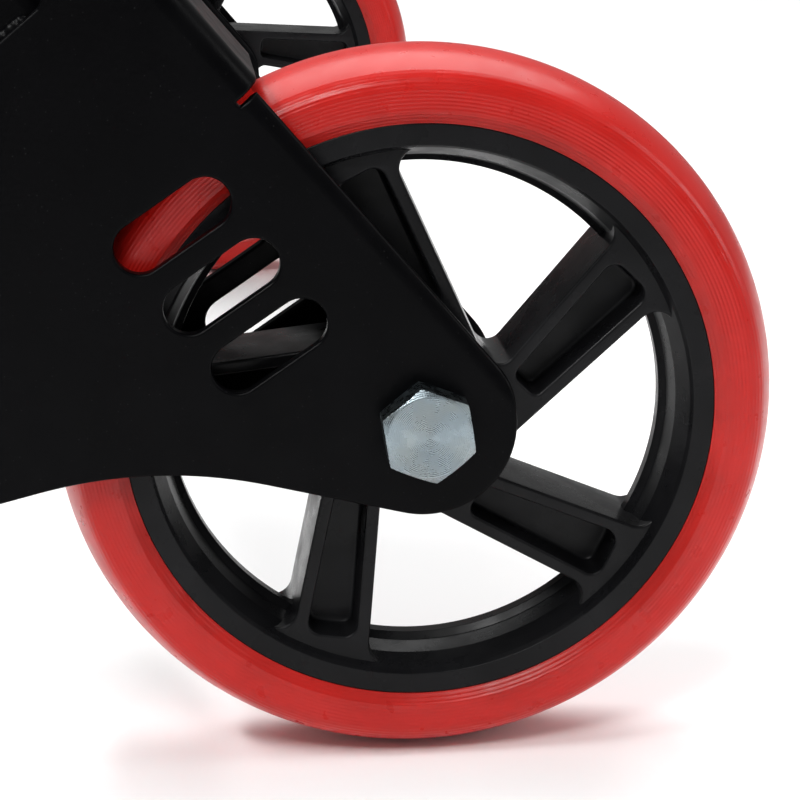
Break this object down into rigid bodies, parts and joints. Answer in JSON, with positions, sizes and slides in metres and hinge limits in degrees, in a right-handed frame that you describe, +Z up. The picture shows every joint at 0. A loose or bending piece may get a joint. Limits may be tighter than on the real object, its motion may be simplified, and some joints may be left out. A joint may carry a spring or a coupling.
{
  "type": "twin wheel carriage",
  "caption": "Rear carriage of a wheeled fitness bench: slotted folded-steel forks hold large red-tyred spoked wheels on raked legs joined by a cross tube with a bolt-on plate.",
  "frame": {"origin": "centre of the mounting plate's front face, midway between the wheels", "axes": "+Z up, +X to the rear, out of the back of the mounting plate towards the wheels, +Y from the left wheel to the right wheel"},
  "size_m": [0.3097, 0.4662, 0.2743],
  "materials": {
    "powder_black": "semi-gloss powder coat with a fine orange peel",
    "tyre_red": "cast polyurethane, satin, with fine turned rings on the side faces",
    "rim_black": "moulded nylon, semi-gloss",
    "zinc": "bright zinc plate",
    "bearing_steel": "ground bearing steel",
    "seal_rubber": "moulded nitrile rubber",
    "cap_plastic": "moulded polyethylene, fine grain"
  },
  "bodies": {
    "frame": {"fork_left": "powder_black", "fork_right": "powder_black", "leg_left": "powder_black", "leg_right": "powder_black", "fork_welds_left": "powder_black", "fork_welds_right": "powder_black", "cross_tube_flange_left": "powder_black", "cross_tube_flange_right": "powder_black", "cross_tube": "powder_black", "mounting_plate": "powder_black", "leg_cap_left": "cap_plastic", "leg_cap_right": "cap_plastic", "bearing_inner_rings_left": "bearing_steel", "bearing_inner_rings_right": "bearing_steel", "bearing_spacer_left": "zinc", "bearing_spacer_right": "zinc", "axle_collars_left": "zinc", "axle_collars_right": "zinc", "axle_bolt_left": "zinc", "axle_bolt_right": "zinc", "axle_washer_left": "zinc", "axle_washer_right": "zinc", "axle_nut_left": "zinc", "axle_nut_right": "zinc", "stay_sleeve_left": "zinc", "stay_sleeve_right": "zinc", "stay_bolt_left": "zinc", "stay_bolt_right": "zinc", "stay_washers_left": "zinc", "stay_washers_right": "zinc", "stay_nut_left": "zinc", "stay_nut_right": "zinc", "flange_bolts_left": "zinc", "flange_bolts_right": "zinc", "flange_washers_left": "zinc", "flange_washers_right": "zinc", "flange_nuts_left": "zinc", "flange_nuts_right": "zinc"},
    "wheel_left": {"tyre_left": "tyre_red", "rim_band_left": "rim_black", "rim_spokes_left": "rim_black", "rim_hub_left": "rim_black", "bearing_outer_rings_left": "bearing_steel", "bearing_balls_left": "bearing_steel", "bearing_seals_left": "seal_rubber"},
    "wheel_right": {"tyre_right": "tyre_red", "rim_band_right": "rim_black", "rim_spokes_right": "rim_black", "rim_hub_right": "rim_black", "bearing_outer_rings_right": "bearing_steel", "bearing_balls_right": "bearing_steel", "bearing_seals_right": "seal_rubber"}
  },
  "joints": [
    {"name": "wheel_left_spin", "type": "hinge", "parent": "frame", "child": "wheel_left", "pos_m": [0.1762, -0.205, -0.12182], "axis": [0, 1, 0], "continuous": true},
    {"name": "wheel_right_spin", "type": "hinge", "parent": "frame", "child": "wheel_right", "pos_m": [0.1482, 0.205, -0.12182], "axis": [0, 1, 0], "continuous": true}
  ]
}
